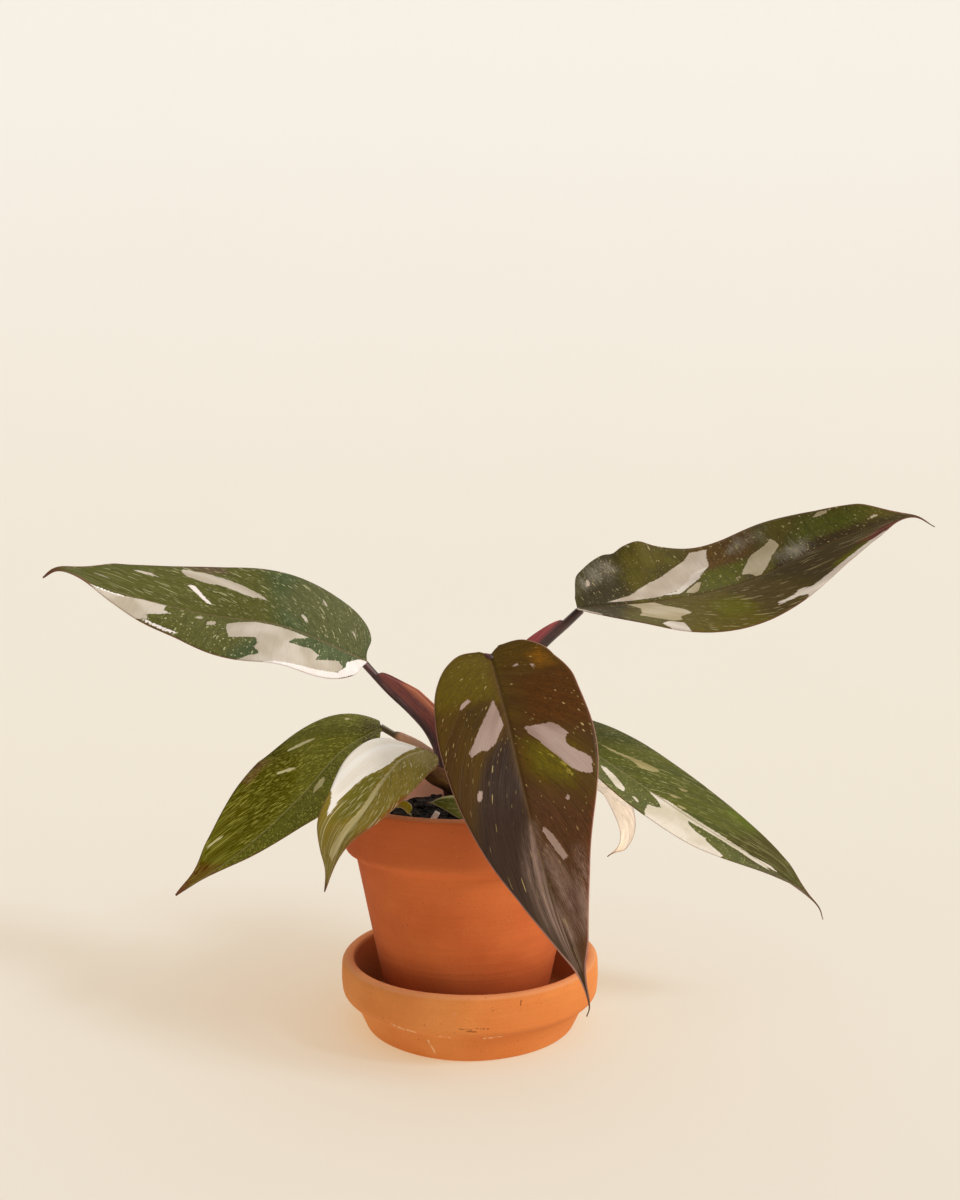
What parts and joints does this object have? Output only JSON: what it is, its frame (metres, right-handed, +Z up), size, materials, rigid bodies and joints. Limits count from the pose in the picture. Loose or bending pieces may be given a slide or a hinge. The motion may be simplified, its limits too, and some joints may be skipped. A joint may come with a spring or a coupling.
{
  "type": "potted variegated philodendron",
  "caption": "Young variegated philodendron with large pointed leaves on red stalks, in a terracotta pot that stands on a terracotta saucer.",
  "frame": {"origin": "centre of the saucer's flat base", "axes": "+X along the spread of the upper leaves, towards the taller one; -Y towards the leaf that hangs over the front of the pot; +Z up"},
  "size_m": [0.4172, 0.1589, 0.2408],
  "materials": {
    "clay_saucer": "unglazed fired clay, matte, with pale scratches",
    "clay_pot": "unglazed fired clay, matte",
    "potting_soil": "dark crumbly potting mix",
    "main_stem": "ringed, slightly rough",
    "leaf_green_cream": "satin, green with beige patches and fine pale streaks",
    "leaf_olive_pink": "glossy, olive with pink-grey wedges",
    "leaf_maroon_pink": "satin, bronze and maroon with pink-beige patches",
    "leaf_speckled_green": "satin, green with dense fine speckles",
    "leaf_half_white": "satin, one half cream-white",
    "leaf_dried": "papery, cream with brown edges",
    "leaf_young": "satin, yellow-green",
    "stalk_burgundy": "glossy, dark red",
    "stalk_brown": "glossy, brown-green",
    "stalk_tan": "satin, tan with a pink cast",
    "stalk_dry": "matte, dry",
    "stalk_young": "satin, yellow-green",
    "stalk_cut": "matte, pale"
  },
  "bodies": {
    "root": {"saucer": "clay_saucer", "pot": "clay_pot", "soil": "potting_soil", "stem": "main_stem", "leaf_upper_left": "leaf_green_cream", "leaf_upper_right": "leaf_olive_pink", "leaf_front": "leaf_maroon_pink", "leaf_lower_left": "leaf_speckled_green", "leaf_lower_right": "leaf_speckled_green", "leaf_low_front_left": "leaf_half_white", "leaf_dried": "leaf_dried", "leaf_soil_leaf": "leaf_young", "leaf_sprout": "leaf_young", "stalk_upper_left": "stalk_burgundy", "stalk_upper_right": "stalk_burgundy", "stalk_front": "stalk_burgundy", "stalk_low_front_left": "stalk_brown", "stalk_lower_right": "stalk_brown", "stalk_lower_left": "stalk_tan", "stalk_dried": "stalk_dry", "stalk_soil_leaf": "stalk_young", "stalk_sprout": "stalk_young", "old_stalk": "stalk_cut"}
  },
  "joints": []
}
